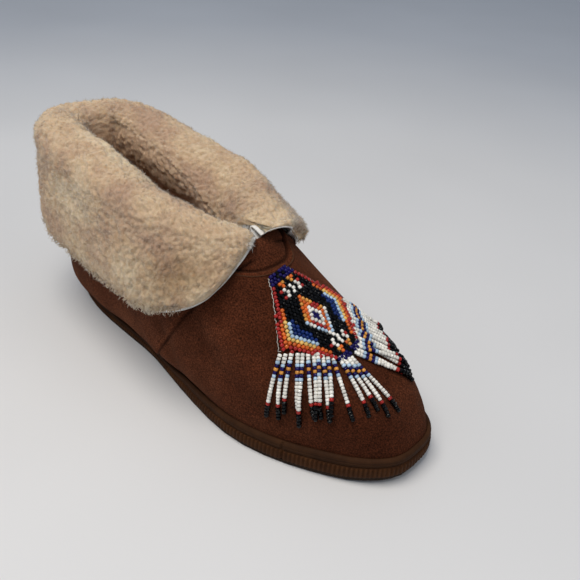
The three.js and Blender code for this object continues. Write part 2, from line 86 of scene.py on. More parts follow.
SEAM_LEVEL = COLLAR_LEVEL - 1

# Share of the sole's length, underside, deck, crease
SOLE_HEIGHTS = (
    (0, 1.5, 6, 8),
    (0.1, 0, 5.5, 7.5),
    (0.28, 0, 5.5, 7.5),
    (0.42, 2, 7, 10),
    (0.57, 0, 8, 12.5),
    (0.78, 0, 9, 14.5),
    (0.9, 1.2, 10.5, 16.5),
    (1, 4.5, 13, 18.5),
)
UNDERSIDE, DECK, CREASE = 1, 2, 3

# Place from heel (0) to front end (1), fold turn, pile on the lining side
CUFF_FOLDS = ((0, 0, 14), (0.3, 70, 18.5), (0.6, 120, 23), (0.85, 152, 23), (1, 178.5, 22))
FOLD, LINING = 1, 2
# Place, hem turn, hem level, stand-off, arch, pile, the fold's rise and the skin's loop inside it
CUFF_OUTER = (
    (0, 0, 3.2, 2, 0, 12, 9.5, 0.4),
    (0.3, 62, 3.5, 3, 0, 11.5, 18, 0.4),
    (0.6, 95, 3.85, 4, 0, 11, 25, 0.4),
    (0.85, 117, 4.55, 6, 0, 10, 26, 0.4),
    (1, 137, 5.35, 7, 0, 8, 11, 0.4),
)
CUFF_INNER = (
    (0, 0, 3.2, 2, 0, 12, 9.5, 0.4),
    (0.3, 62, 3.5, 3, 0, 11.5, 9.5, 0.4),
    (0.6, 93, 3.85, 3, 0, 11, 11, 0.4),
    (0.85, 114, 4.6, 1.5, 3, 9, 16, 1.6),
    (1, 130, 5.6, 0.5, 9.5, 5, 16, 7),
)
HEM, LEVEL, STAND, ARCH, PILE, RISE, LOOP = range(1, 8)

# Distance down the ornament's chart and its half breadth there
PANEL_ROWS = ((2.5, 5.5), (9, 8.5), (34, 25), (62, 5))
PANEL_TOP = np.array((42.0, -4.2, 87.0))
PANEL_TIP = np.array((92.0, 4.5, 54.5))


# Forms shared with the source

def unit(vectors):
    return vectors / np.linalg.norm(vectors, axis=-1, keepdims=True)


CHART_DOWN = unit(PANEL_TIP - PANEL_TOP)
CHART_ACROSS = unit(np.array((0.0, 1.0, 0.0)) - CHART_DOWN[1] * CHART_DOWN)


def cubic(s, low, high, low_slope, high_slope):
    """From low to high as s goes from 0 to 1, with these slopes at the ends."""
    rise = (3 - 2 * s) * s * s
    return (1 - rise) * low + rise * high + s * (1 - s) ** 2 * low_slope + s * s * (s - 1) * high_slope


def curve_at(ats, values, at):
    """Cubic through rows (ats[i], values[i]) with Catmull-Rom slopes."""
    ats = np.asarray(ats, float)
    values = np.asarray(values, float)
    slopes = np.empty_like(values)
    slopes[1:-1] = (values[2:] - values[:-2]) / (ats[2:] - ats[:-2])
    slopes[0] = (values[1] - values[0]) / (ats[1] - ats[0])
    slopes[-1] = (values[-1] - values[-2]) / (ats[-1] - ats[-2])
    i = np.clip(np.searchsorted(ats, at) - 1, 0, len(ats) - 2)
    span = ats[i + 1] - ats[i]
    return cubic((at - ats[i]) / span, values[i], values[i + 1], span * slopes[i], span * slopes[i + 1])


def smooth_step(a, b, x):
    s = np.clip((x - a) / (b - a), 0, 1)
    return s * s * (3 - 2 * s)


def bell(x, middle, width):
    return np.exp(-((x - middle) / width) ** 2)


def sole_height(key, x):
    share = np.clip((x - SOLE_BACK) / (SOLE_FRONT - SOLE_BACK), 0, 1)
    rows = np.array(SOLE_HEIGHTS, float)
    i = np.clip(np.searchsorted(rows[:, 0], share) - 1, 0, len(rows) - 2)
    part = smooth_step(rows[i, 0], rows[i + 1, 0], share)
    return rows[i, key] + part * (rows[i + 1, key] - rows[i, key])


def level_point(level, phi):
    back_x, back_z, front_x, front_y, front_z, lateral, medial = level
    share = (1 - np.cos(phi)) / 2
    sine = np.sin(phi)
    breadth = np.where(sine >= 0, curve_at(STATIONS, lateral, share), curve_at(STATIONS, medial, share))
    half = np.sign(sine) * np.abs(sine) ** END_ROUNDING * breadth
    return np.stack((
        back_x + share * (front_x - back_x),
        front_y * smooth_step(0.35, 1, share) - half,
        back_z + share * (front_z - back_z),
    ), -1)


def sole_point(phi, inset, key, rise):
    step = 0.01
    along = unit(level_point(SOLE_PLAN, phi + step) - level_point(SOLE_PLAN, phi - step))
    point = level_point(SOLE_PLAN, phi)
    point[..., 0] -= along[..., 1] * inset
    point[..., 1] += along[..., 0] * inset
    point[..., 2] = sole_height(key, point[..., 0]) + rise
    return point


def outer_point(phi, v):
    """The upper's outer face at turn phi and level v; both are flat arrays of one length."""
    foot = sole_point(phi, FOXING_THICKNESS + GAP, DECK, GAP)
    crease = foot.copy()
    crease[:, 2] = sole_height(CREASE, crease[:, 0])
    rows = np.stack([foot, crease] + [level_point(level, phi) for level in UPPER_LEVELS])
    slopes = np.gradient(rows, axis=0)
    i = np.clip(np.ceil(v).astype(int) - 1, 0, len(rows) - 2)
    each = np.arange(len(phi))
    return cubic((v - i)[:, None], rows[i, each], rows[i + 1, each], slopes[i, each], slopes[i + 1, each])


def outer_slopes(phi, v):
    step = 0.02
    low = np.maximum(v - step, 0)
    high = np.minimum(v + step, COLLAR_LEVEL)
    around = (outer_point(phi + step, v) - outer_point(phi - step, v)) / (2 * step)
    up = (outer_point(phi, high) - outer_point(phi, low)) / (high - low)[:, None]
    return around, up


def even_turns(count):
    return np.arange(count) * 2 * math.pi / count


def spread(across, down):
    """Flat arrays of the two places of a grid's points, row by row."""
    return np.tile(across, len(down)), np.repeat(down, len(across))


def outer_normal(phi, v):
    around, up = outer_slopes(phi, v)
    return unit(np.cross(around, up))


def off_point(phi, v, distance):
    return outer_point(phi, v) + outer_normal(phi, v) * np.asarray(distance)[..., None]


def chart_turn(across, down):
    """Turn and level of the upper's points at (across, down) in the ornament's flat chart."""
    # A first guess, then Newton's steps
    phi = math.pi + across / 40
    v = 6 - down / 30
    for _ in range(12):
        off = outer_point(phi, v) - PANEL_TOP
        around, up = outer_slopes(phi, v)
        a, b = around @ CHART_ACROSS, up @ CHART_ACROSS
        c, d = around @ CHART_DOWN, up @ CHART_DOWN
        miss_across = across - off @ CHART_ACROSS
        miss_down = down - off @ CHART_DOWN
        det = a * d - b * c
        phi = phi + (d * miss_across - b * miss_down) / det
        v = v + (a * miss_down - c * miss_across) / det
    return phi, v


# The source moved its origin to the middle of its box; the outsole's corner tells by how much
outsole_ring = sole_point(even_turns(OUTSOLE_COLUMNS), FLANGE_INSET, UNDERSIDE, 0)
outsole_low = np.array(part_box("outsole")[0]) / MM
ORIGIN = np.array((*(outsole_low[:2] - outsole_ring[:, :2].min(0)), 0))


# Mesh helpers

def add_object(name, data):
    obj = bpy.data.objects.new(name, data)
    bpy.context.scene.collection.objects.link(obj)
    return obj


def make_object(name, points, faces, materials, material_index=None):
    mesh = bpy.data.meshes.new(name)
    mesh.from_pydata(((np.asarray(points) + ORIGIN) * MM).tolist(), [], faces)
    for material in materials:
        mesh.materials.append(material)
    if material_index is not None:
        mesh.polygons.foreach_set("material_index", np.asarray(material_index, np.int32))
    mesh.polygons.foreach_set("use_smooth", np.full(len(mesh.polygons), True))
    mesh.update()
    obj = add_object(name, mesh)
    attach(obj, "root")
    return obj


def add_marks(obj, name, values):
    """Gives each point a value that a material reads by name."""
    obj.data.attributes.new(name, "FLOAT", "POINT").data.foreach_set("value", values)


def grid_faces(rows, columns, start=0, closed=False):
    """Quads of a grid numbered row by row; closed joins the last column to the first."""
    r = np.arange(rows - 1)[:, None]
    c = np.arange(columns if closed else columns - 1)[None, :]
    n = (c + 1) % columns
    quads = np.stack((r * columns + c, r * columns + n, (r + 1) * columns + n, (r + 1) * columns + c), -1)
    return (quads.reshape(-1, 4) + start).tolist()


def torus_faces(rows, columns):
    """Quads of a grid that closes on itself both ways."""
    last = (rows - 1) * columns
    closing = [[last + i, last + (i + 1) % columns, (i + 1) % columns, i] for i in range(columns)]
    return grid_faces(rows, columns, closed=True) + closing


def slab_faces(rows, columns):
    """Faces of a thin slab: a grid, the same grid below it and the wall round their border."""
    size = rows * columns
    faces = [face[::-1] for face in grid_faces(rows, columns)] + grid_faces(rows, columns, start=size)
    ids = np.arange(size).reshape(rows, columns)
    border = np.concatenate((ids[0], ids[1:, -1], ids[-1, -2::-1], ids[-2:0:-1, 0])).tolist()
    return faces + [[a, b, b + size, a + size] for a, b in zip(border, border[1:] + border[:1])]


def tube_faces(rings, sides):
    """Faces of a closed tube whose points run ring by ring."""
    ends = [list(range(sides))[::-1], list(range((rings - 1) * sides, rings * sides))]
    return grid_faces(rings, sides, closed=True) + ends


def noise_places(points, size, seed):
    """Places in the noise for features of about size millimetres."""
    shift = Vector((seed * 7.3, seed * 3.1, seed * 5.7))
    return [Vector(p) / size + shift for p in points]


def noise_field(points, size, seed):
    """Smooth noise from -1 to 1."""
    return np.array([noise.noise(p) for p in noise_places(points, size, seed)])


def tuft_field(points, size, seed):
    """Rounded tufts, 1 at each tuft's middle and 0 in the clefts between."""
    near = np.array([noise.voronoi(p)[0][0] for p in noise_places(points, size, seed)])
    return np.clip(1 - (near / 0.85) ** 2, 0, 1)


def grid_normals(points, rows, columns):
    grid = points.reshape(rows, columns, 3)
    return unit(np.cross(np.gradient(grid, axis=1), np.gradient(grid, axis=0))).reshape(-1, 3)


# Materials

COLOR_A, COLOR_B, COLOR_RESULT = 6, 7, 2  # places of the colour sockets of a mix node
WHITE = (1.0, 1.0, 1.0)


def node_material(name):
    """A new material with its node tree and its shader."""
    material = bpy.data.materials.new(name)
    material.use_nodes = True
    tree = material.node_tree
    return material, tree, tree.nodes["Principled BSDF"]


def fill_inputs(tree, node, links, values):
    """Links some of a node's inputs to what feeds them, if anything does, and sets others."""
    for socket, source in links.items():
        if source is not None:
            tree.links.new(source, node.inputs[socket])
    for socket, value in values.items():
        node.inputs[socket].default_value = value


def add_node(tree, kind, links, values):
    node = tree.nodes.new("ShaderNode" + kind)
    fill_inputs(tree, node, links, values)
    return node


def object_coords(tree):
    return tree.nodes.new("ShaderNodeTexCoord").outputs["Object"]


def noise_node(tree, scale, detail=3.0, roughness=0.6):
    values = {"Scale": scale, "Detail": detail, "Roughness": roughness}
    return add_node(tree, "TexNoise", {"Vector": object_coords(tree)}, values).outputs["Fac"]


def attribute_node(tree, name):
    """The value that the mesh carries under this name at each point."""
    attribute = tree.nodes.new("ShaderNodeAttribute")
    attribute.attribute_name = name
    return attribute.outputs["Fac"]


def ramp_node(tree, source, stops):
    ramp = add_node(tree, "ValToRGB", {"Fac": source}, {})
    elements = ramp.color_ramp.elements
    while len(elements) < len(stops):
        elements.new(0.5)
    for element, (place, color) in zip(elements, stops):
        element.position = place
        element.color = (*color, 1)
    return ramp.outputs["Color"]


def range_node(tree, source, values):
    return add_node(tree, "MapRange", {"Value": source}, values).outputs["Result"]


def mix_colors(tree, first, second, factor=None):
    """Two colours mixed by a factor, or multiplied where there is none."""
    mix = tree.nodes.new("ShaderNodeMix")
    mix.data_type = "RGBA"
    fill_inputs(tree, mix, {"Factor": factor, COLOR_A: first, COLOR_B: second}, {})
    if factor is None:
        mix.blend_type = "MULTIPLY"
        mix.inputs["Factor"].default_value = 1
    return mix.outputs[COLOR_RESULT]


def bump_node(tree, height, distance, strength, below=None):
    values = {"Strength": strength, "Distance": distance}
    return add_node(tree, "Bump", {"Height": height, "Normal": below}, values).outputs["Normal"]


def suede_material():
    material, tree, shader = node_material("suede")
    wide = noise_node(tree, scale=38, detail=4.0)
    nap = noise_node(tree, scale=1200, detail=5.0, roughness=0.75)
    grain = noise_node(tree, scale=2200, detail=2.0)
    tone = ramp_node(tree, wide, (
        (0.3, (0.066, 0.0195, 0.0085)), (0.5, (0.088, 0.0265, 0.012)), (0.72, (0.122, 0.040, 0.019))))
    fleck = ramp_node(tree, nap, (
        (0.36, (0.24, 0.22, 0.20)), (0.51, (0.95, 0.95, 0.95)), (0.66, (2.0, 1.9, 1.8))))
    place = add_node(tree, "SeparateXYZ", {"Vector": object_coords(tree)}, {})
    # Painted shade: the suede is painted darker towards the toe
    toward_toe = range_node(tree, place.outputs["X"], {"From Min": -0.01, "From Max": 0.11})
    toe = ramp_node(tree, toward_toe, ((0.0, WHITE), (1.0, (0.62, 0.56, 0.54))))
    # Painted shade darkens grooves and fold troughs; pale seam edges and fold ridges are partly scuffing,
    # partly painted highlight
    wear_and_light_tone = ramp_node(tree, attribute_node(tree, "wear_and_painted_light"), (
        (0.0, (0.12, 0.1, 0.1)), (0.5, WHITE), (1.0, (2.1, 2.0, 1.9))))
    for layer in (fleck, toe, wear_and_light_tone):
        tone = mix_colors(tree, tone, layer)
    rough = bump_node(tree, nap, distance=0.0007, strength=0.6)
    fine = bump_node(tree, grain, distance=0.0003, strength=0.6, below=rough)
    fill_inputs(tree, shader, {"Base Color": tone, "Normal": fine}, {
        "Roughness": 0.96, "Specular IOR Level": 0.04, "Sheen Weight": 0.12, "Sheen Roughness": 0.5,
        "Sheen Tint": (0.55, 0.25, 0.14, 1),
    })
    return material


def wool_material(name, stops, shade):
    material, tree, shader = node_material(name)
    patch = noise_node(tree, scale=26)
    curl = noise_node(tree, scale=420, roughness=0.65)
    # Painted shade: the curls' hollows are painted darker with the shade colour
    depth = ramp_node(tree, curl, ((0.3, shade), (0.6, WHITE)))
    tone = mix_colors(tree, ramp_node(tree, patch, stops), depth)
    inner_tone = ramp_node(tree, curl, ((0.3, (0.46, 0.30, 0.20)), (0.65, (0.70, 0.51, 0.36))))
    tone = mix_colors(tree, tone, inner_tone, attribute_node(tree, "stain"))
    # Painted shade: darker on the front of the outer flap and down inside at the heel
    painted_shade_tone = ramp_node(tree, attribute_node(tree, "painted_shade"), ((0.0, WHITE), (1.0, (0.68, 0.63, 0.56))))
    bump = bump_node(tree, curl, distance=0.0008, strength=0.7)
    fill_inputs(tree, shader, {"Base Color": mix_colors(tree, tone, painted_shade_tone), "Normal": bump}, {
        "Roughness": 0.95, "Specular IOR Level": 0.05, "Subsurface Weight": 0.7,
        "Subsurface Radius": (0.0022, 0.0017, 0.0013), "Subsurface Scale": 1,
    })
    return material


def rubber_material(name, dark, light, roughness):
    material, tree, shader = node_material(name)
    scuff = noise_node(tree, scale=90, detail=5.0, roughness=0.7)
    dust = noise_node(tree, scale=900, detail=2.0)
    tone = ramp_node(tree, scuff, ((0.35, dark), (0.68, light)))
    gloss = range_node(tree, scuff, {"To Min": roughness - 0.1, "To Max": roughness + 0.15})
    bump = bump_node(tree, dust, distance=0.0002, strength=0.35)
    fill_inputs(tree, shader, {"Base Color": tone, "Roughness": gloss, "Normal": bump}, {
        "Specular IOR Level": 0.1})
    return material


def skin_material():
    material, tree, shader = node_material("raw_skin")
    fibre = noise_node(tree, scale=600, detail=4.0, roughness=0.7)
    tone = ramp_node(tree, fibre, ((0.3, (0.66, 0.63, 0.58)), (0.7, (0.88, 0.86, 0.82))))
    bump = bump_node(tree, fibre, distance=0.0004, strength=0.5)
    fill_inputs(tree, shader, {"Base Color": tone, "Normal": bump}, {"Roughness": 0.9})
    return material


def bead_material(name, color, clear, gloss):
    """Glass seed bead: smooth and glossy, each slightly uneven in tone."""
    material, tree, shader = node_material(name)
    low = tuple(0.78 * c for c in color)
    high = tuple(min(1.0, 1.18 * c) for c in color)
    tone = ramp_node(tree, noise_node(tree, scale=260, detail=1.0), ((0.35, low), (0.65, high)))
    fill_inputs(tree, shader, {"Base Color": tone}, {
        "Roughness": 0.08, "Specular IOR Level": gloss, "Subsurface Weight": clear,
        "Subsurface Radius": (0.001, 0.001, 0.001),
    })
    return material


SUEDE = suede_material()
WOOL = wool_material("wool", (
    (0.36, (0.46, 0.315, 0.22)), (0.5, (0.585, 0.43, 0.285)), (0.64, (0.68, 0.54, 0.37)),
), (0.8, 0.76, 0.71))
PALE_WOOL = wool_material("pale_wool", (
    (0.36, (0.53, 0.385, 0.275)), (0.5, (0.65, 0.50, 0.345)), (0.64, (0.74, 0.60, 0.43)),
), (0.86, 0.83, 0.79))
LINING_WOOL = wool_material("lining_wool", (
    (0.3, (0.64, 0.43, 0.30)), (0.7, (0.76, 0.56, 0.41)),
), (0.8, 0.76, 0.71))
SKIN = skin_material()
THREAD = rubber_material("thread", (0.065, 0.026, 0.012), (0.105, 0.048, 0.024), 0.8)
PALE_THREAD = rubber_material("pale_thread", (0.5, 0.47, 0.42), (0.7, 0.67, 0.6), 0.7)
FOXING_RUBBER = rubber_material("foxing_rubber", (0.04, 0.0128, 0.0028), (0.072, 0.0255, 0.0068), 0.62)
FOXING_BAND = rubber_material("foxing_band", (0.030, 0.0108, 0.0034), (0.052, 0.0200, 0.0070), 0.7)
OUTSOLE_RUBBER = rubber_material("outsole_rubber", (0.018, 0.01, 0.006), (0.034, 0.019, 0.011), 0.65)
# Colour of each kind of bead, how far light enters it, and its gloss
BEAD_GLASS = {
    "white": ((0.80, 0.77, 0.70), 0.15, 0.3),
    "sky": ((0.42, 0.56, 0.70), 0.15, 0.3),
    "royal": ((0.006, 0.022, 0.12), 0.0, 0.2),
    "navy": ((0.008, 0.005, 0.075), 0.0, 0.2),
    "black": ((0.0012, 0.0012, 0.0014), 0.0, 0.2),
    "red": ((0.33, 0.018, 0.014), 0.0, 0.3),
    "orange": ((0.62, 0.12, 0.018), 0.0, 0.3),
    "amber": ((0.62, 0.27, 0.05), 0.0, 0.3),
    "yellow": ((0.70, 0.44, 0.12), 0.0, 0.3),
}
BEAD_NAMES = list(BEAD_GLASS)
BEADS = [bead_material("bead_" + name, *glass) for name, glass in BEAD_GLASS.items()]


# Suede upper

# Troughs (negative) and ridges of the worn suede: side (-1 outer), from x, z, to x, z,
# height, half width
FOLDS = (
    (-1, 18, 64, 48, 36, -0.9, 6),
    (-1, 30, 70, 62, 48, 0.6, 7),
    (-1, -4, 46, 10, 22, -0.8, 5),
    (-1, -40, 40, -20, 20, -0.7, 7),
    (-1, 60, 30, 84, 24, -0.6, 6),
    (-1, -86, 40, -70, 16, 0.5, 8),
    (1, 16, 66, 46, 36, -0.9, 7),
    (1, -10, 44, 6, 20, -0.8, 6),
    (1, -60, 42, -36, 20, -0.7, 8),
    (1, 58, 36, 84, 24, -0.6, 7),
)
# The side seams of the quarters: side, x at the sole, lean of x with height
SIDE_SEAMS = ((-1, -18, 0.622), (1, -22, 0.6))
SEAM_TURN = 1.36  # turn from the front at which the side seams run
SEAM_SPREAD = 0.36  # how far to either side of it they stay
SEAM_LIP = 0.7  # heights and depths of the seams' edges and grooves
SEAM_GROOVE = 0.9
HEEL_GROOVE = 0.6
HEEL_END = -100  # the heel seam lies behind this x
PUCKERS = 95  # gathers round the collar seam
PLAIN_WEAR_AND_LIGHT = 0.5


def suede_marks(points, phi, v):
    """Height of seams, creases and unevenness off the source's face in millimetres, and the mark of
    scuffing and
    painted light there: 0 dark with painted shade in a groove, 0.5 plain, 1 pale on a scuffed edge, partly
    scuffing and partly a painted highlight; a fold's trough takes painted shade and its ridge a painted
    highlight."""
    x, y, z = points.T
    relief = 0.35 * noise_field(points, size=26, seed=3) + 0.16 * noise_field(points, size=9, seed=4)
    wear_and_painted_light = PLAIN_WEAR_AND_LIGHT + 0.1 * noise_field(points, size=17, seed=31)
    rubbed_and_lit = 0.5 + 0.5 * noise_field(points, size=4, seed=33)
    for side, x0, z0, x1, z1, height, width in FOLDS:
        on_side = smooth_step(2, 12, side * y)
        dx, dz = x1 - x0, z1 - z0
        share = np.clip(((x - x0) * dx + (z - z0) * dz) / (dx * dx + dz * dz), 0, 1)
        far = np.hypot(x - x0 - share * dx, z - z0 - share * dz)
        fold = on_side * height * bell(far, 0, width)
        relief += fold
        # Troughs are painted darker as painted shade, ridges paler as a painted highlight
        wear_and_painted_light += 0.12 * fold
    for side, x0, lean in SIDE_SEAMS:
        on_side = smooth_step(6, 14, side * y)
        far = (x - x0 - lean * (z - 8)) / math.hypot(1, lean)
        groove = on_side * bell(far, 0.9, 0.8)
        lip = on_side * smooth_step(0.9, -0.9, far) * smooth_step(-26, -4, far)
        relief += SEAM_LIP * lip - SEAM_GROOVE * groove
        # A pale line beside the seam, partly scuffing and partly painted highlight, and painted shade in
        # its groove
        wear_and_painted_light += 0.3 * on_side * rubbed_and_lit * bell(far, -0.6, 0.7) - 0.4 * groove
    heel = bell(y, 0, 0.9) * (x < HEEL_END)
    relief -= HEEL_GROOVE * heel
    # Painted shade in the heel seam's groove
    wear_and_painted_light -= 0.4 * heel
    seam = v - SEAM_LEVEL
    relief -= SEAM_STEP * smooth_step(0, 0.06, seam)
    pucker = 0.5 + 0.5 * np.sin(phi * PUCKERS)
    ridge = bell(seam, -0.07, 0.06)
    groove = bell(seam, 0.035, 0.04)
    relief += (0.75 + 0.35 * pucker) * ridge - groove
    # Paler along the collar seam's ridge, partly scuffing and partly painted highlight; painted shade in
    # its groove
    wear_and_painted_light += 0.35 * rubbed_and_lit * ridge - 0.35 * groove
    return relief, np.clip(wear_and_painted_light, 0, 1)


def upper_turns(count):
    """Turns round the upper, three times as close where the side seams run."""
    fine = np.linspace(0, 2 * math.pi, 2001)
    near_seam = np.exp(-((np.abs(fine - math.pi) - SEAM_TURN) / SEAM_SPREAD) ** 4)
    reached = np.concatenate(([0], np.cumsum(1 + 2 * near_seam)[:-1]))
    return np.interp(np.arange(count) * reached[-1] / count, reached, fine)


def make_upper():
    columns = 380
    ring = upper_turns(columns)
    rows = np.concatenate((np.linspace(0, 5.7, 96), np.linspace(5.72, 6.3, 40), np.linspace(6.33, 7, 14)))
    phi, v = spread(ring, rows)
    face = outer_point(phi, v)
    normal = outer_normal(phi, v)
    relief, wear_and_painted_light = suede_marks(face, phi, v)
    outside = face + normal * (relief * smooth_step(0.9, 1.4, v))[:, None]
    inner_rows = np.linspace(COLLAR_LEVEL, 1, 30)
    inside = off_point(*spread(ring, inner_rows), [-UPPER_WALL])
    foot = sole_point(ring, FOXING_THICKNESS + GAP + UPPER_WALL, DECK, GAP)
    points = np.concatenate((outside, inside, foot))
    faces = torus_faces(len(rows) + len(inner_rows) + 1, columns)
    obj = make_object("suede_upper", points, faces, [SUEDE])
    wear_and_painted_light = np.concatenate((wear_and_painted_light, np.full(len(inside) + len(foot), PLAIN_WEAR_AND_LIGHT)))
    add_marks(obj, "wear_and_painted_light", wear_and_painted_light)
    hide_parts("upper")


def make_stitches():
    """The row of stitches just below the collar seam."""
    count, radius = 170, 0.28
    phi = even_turns(count)
    v = np.full(count, SEAM_LEVEL - 0.11)
    around, up = outer_slopes(phi, v)
    normal = unit(np.cross(around, up))
    centre = outer_point(phi, v)
    centre += normal * (suede_marks(centre, phi, v)[0] + 0.12)[:, None]
    ahead = unit(around + 0.25 * up)
    side = np.cross(normal, ahead)
    rings = []
    for place, share in ((-1.1, 0.35), (-0.6, 1), (0.6, 1), (1.1, 0.35)):
        for turn in even_turns(6):
            spoke = side * math.cos(turn) + normal * math.sin(turn)
            rings.append(centre + ahead * place + spoke * radius * share)
    points = np.stack(rings, 1).reshape(-1, 3)
    single = tube_faces(4, 6)
    faces = [[len(rings) * k + i for i in face] for k in range(count) for face in single]
    obj = make_object("collar_stitches", points, faces, [THREAD])


# Rubber

RIB_TOP = 0.54  # share of the foxing's height at which the ribs end and the plain band starts
FOXING_JOINT = 84.5  # x at which the strip's ends meet on the outer side
JOINT_DEPTH = 0.95


def make_foxing():
    per_rib = 6
    turns = np.linspace(0, 2 * math.pi, 4001)
    steps = np.linalg.norm(np.diff(level_point(SOLE_PLAN, turns), axis=0), axis=1)
    reached = np.concatenate(([0], np.cumsum(steps)))
    columns = round(reached[-1] / RIB_PITCH) * per_rib
    phi = np.interp(np.arange(columns) * reached[-1] / columns, reached, turns)
    wave = 0.5 - 0.5 * np.cos(2 * math.pi * np.arange(columns) / per_rib)
    valley = 1.15 * RIB_DEPTH * smooth_step(0.2, 0.8, wave)
    # inset, share of the height from bottom to crease, lift, and how far the ribs show there
    profile = (
        (1.2, 0, 0, 0), (0.55, 0.02, 0.15, 0.5), (0.1, 0.05, 0.4, 1), (0, 0.12, 0.4, 1), (0, 0.45, 0, 1),
        (0.1, 0.5, 0, 1), (0.6, 0.53, 0, 0.5), (1.6, 0.55, 0, 0), (1.7, 0.58, 0, 0), (1.2, 0.61, 0, 0),
        (0.8, 0.64, 0, 0), (0.62, 0.68, 0, 0), (0.85, 0.7, 0, 0), (0.6, 0.72, 0, 0), (0.58, 0.79, 0, 0),
        (0.82, 0.81, 0, 0), (0.62, 0.83, 0, 0), (0.8, 0.9, 0, 0), (1.3, 0.95, 0, 0), (1.9, 0.985, 0, 0),
        (2.5, 1, 0, 0), (FOXING_THICKNESS, 1, -0.2, 0), (FOXING_THICKNESS, 0, 0, 0),
    )
    joint = bell(level_point(SOLE_PLAN, phi)[:, 0], FOXING_JOINT, 0.7) * (np.sin(phi) > 0)
    rings = []
    for inset, share, lift, shown in profile:
        seam = JOINT_DEPTH * joint * (inset < 1.5)
        point = sole_point(phi, inset + shown * valley + seam, UNDERSIDE, FLANGE_RISE + GAP + lift)
        point[:, 2] += share * (sole_height(CREASE, point[:, 0]) - point[:, 2])
        rings.append(point)
    points = np.concatenate(rings)
    faces = torus_faces(len(profile), columns)
    banded = [int(share > RIB_TOP) for _, share, _, _ in profile[:-1]] + [0]
    rubbers = [FOXING_RUBBER, FOXING_BAND]
    obj = make_object("ribbed_foxing", points, faces, rubbers, np.repeat(banded, columns))
    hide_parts("foxing")


def finish_outsole():
    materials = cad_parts["outsole"].data.materials
    materials.clear()
    materials.append(OUTSOLE_RUBBER)


# Sheepskin

def table_row(table, key, along):
    return curve_at([row[0] for row in table], [row[key] for row in table], np.abs(along))


def side_row(key, along):
    return np.where(along < 0, table_row(CUFF_OUTER, key, along), table_row(CUFF_INNER, key, along))


def cuff_turn(along, drop):
    degrees = table_row(CUFF_FOLDS, FOLD, along) * (1 - drop) + side_row(HEM, along) * drop
    return -np.sign(along) * np.radians(degrees)


FLAP_END = 0.5  # shares of the section at which the flap ends and the fold ends
FOLD_END = 0.78
LEG_LEVELS = 3.4  # how far the pile runs on down inside, in levels
PILE_FRONT = 0.988  # the pile stops just short of the skin's front edges


def cuff_face(along, sweep, flap_height, outer, inner, rise):
    """A face of the cuff at place along (-1 outer front end, 1 inner front end) and share sweep of its
    section from the hem over the fold down inside: flap_height off the flap's skin, outer and inner off
    the collar."""
    drop = 1 - sweep / FLAP_END
    hung = np.clip(drop, 0, 1)
    arch = side_row(ARCH, along) * np.sin(math.pi * np.sqrt(hung))
    stand = CUFF_GAP + side_row(STAND, along) * hung ** 1.5 + arch
    level = COLLAR_LEVEL + drop * (side_row(LEVEL, along) - COLLAR_LEVEL)
    flap = off_point(cuff_turn(along, drop), level, stand + flap_height)
    turn = cuff_turn(along, np.zeros_like(along))
    collar = np.full_like(along, COLLAR_LEVEL)
    normal = outer_normal(turn, collar)
    up = unit(outer_slopes(turn, collar)[1])
    angle = math.pi * np.clip((sweep - FLAP_END) / (FOLD_END - FLAP_END), 0, 1)
    reach = inner + (outer - inner) * (1 + np.cos(angle)) / 2
    fold = outer_point(turn, collar) + normal * reach[:, None] + up * (rise * np.sin(angle))[:, None]
    depth = np.clip((sweep - FOLD_END) / (1 - FOLD_END), 0, 1)
    swell = np.where(along > 0, 0.12, 0.1) * np.sin(math.pi * np.clip(depth / 0.6, 0, 1))
    reach = inner * (1 + swell - 0.6 * smooth_step(0.5, 1, depth))
    leg = off_point(turn, COLLAR_LEVEL - LEG_LEVELS * depth, reach)
    points = np.where((sweep < FLAP_END)[:, None], flap, np.where((sweep < FOLD_END)[:, None], fold, leg))
    side = np.sign(along)
    points[:, 1] = side * np.maximum(side * points[:, 1], CUFF_MEETING)
    return points


def cuff_pile(along, sweep):
    """The pile's smooth face, rounded off at the hem and the front edges."""
    drop = np.clip(1 - sweep / FLAP_END, 0, 1)
    hem = np.sqrt(1 - np.clip((drop - 0.8) / 0.2, 0, 1) ** 2)
    front = 0.15 + 0.85 * np.sqrt(1 - np.clip((np.abs(along) - PILE_FRONT + 0.05) / 0.05, 0, 1) ** 2)
    pile = side_row(PILE, along)
    return cuff_face(
        along, sweep, pile * (0.3 + 0.7 * hem * front), CUFF_GAP + pile * (0.3 + 0.7 * front),
        -UPPER_WALL - CUFF_GAP - table_row(CUFF_FOLDS, LINING, along), side_row(RISE, along))


def cuff_skin(along, sweep, height):
    """The skin's face under the pile, at height off the side that faces the upper."""
    inner = np.full_like(along, -UPPER_WALL - CUFF_GAP) - height
    return cuff_face(along, sweep, height, CUFF_GAP + height, inner, side_row(LOOP, along) + height)


def cuff_painted_shade(along, sweep):
    """Painted shade from 0 to 1: a darker patch on the front half of the outer flap, and darker down
    inside at the heel.
    """
    flap_shade = bell(along, -0.78, 0.16) * bell(sweep, 0.2, 0.16)
    heel = bell(along, 0.1, 0.26) * smooth_step(FOLD_END - 0.05, FOLD_END + 0.08, sweep)
    return np.maximum(flap_shade, heel)


def fleece(points, normals, lump, curl):
    """Displaces a fine grid into clumps and curls of fleece."""
    clump = 0.55 * noise_field(points, size=15, seed=5) + 0.45 * tuft_field(points, size=6.5, seed=6)
    curls = 0.6 * tuft_field(points, size=3.6, seed=7) + 0.4 * tuft_field(points, size=2.2, seed=8)
    height = lump * (clump - 0.3) + curl * (curls - 0.75)
    return points + normals * height[:, None]


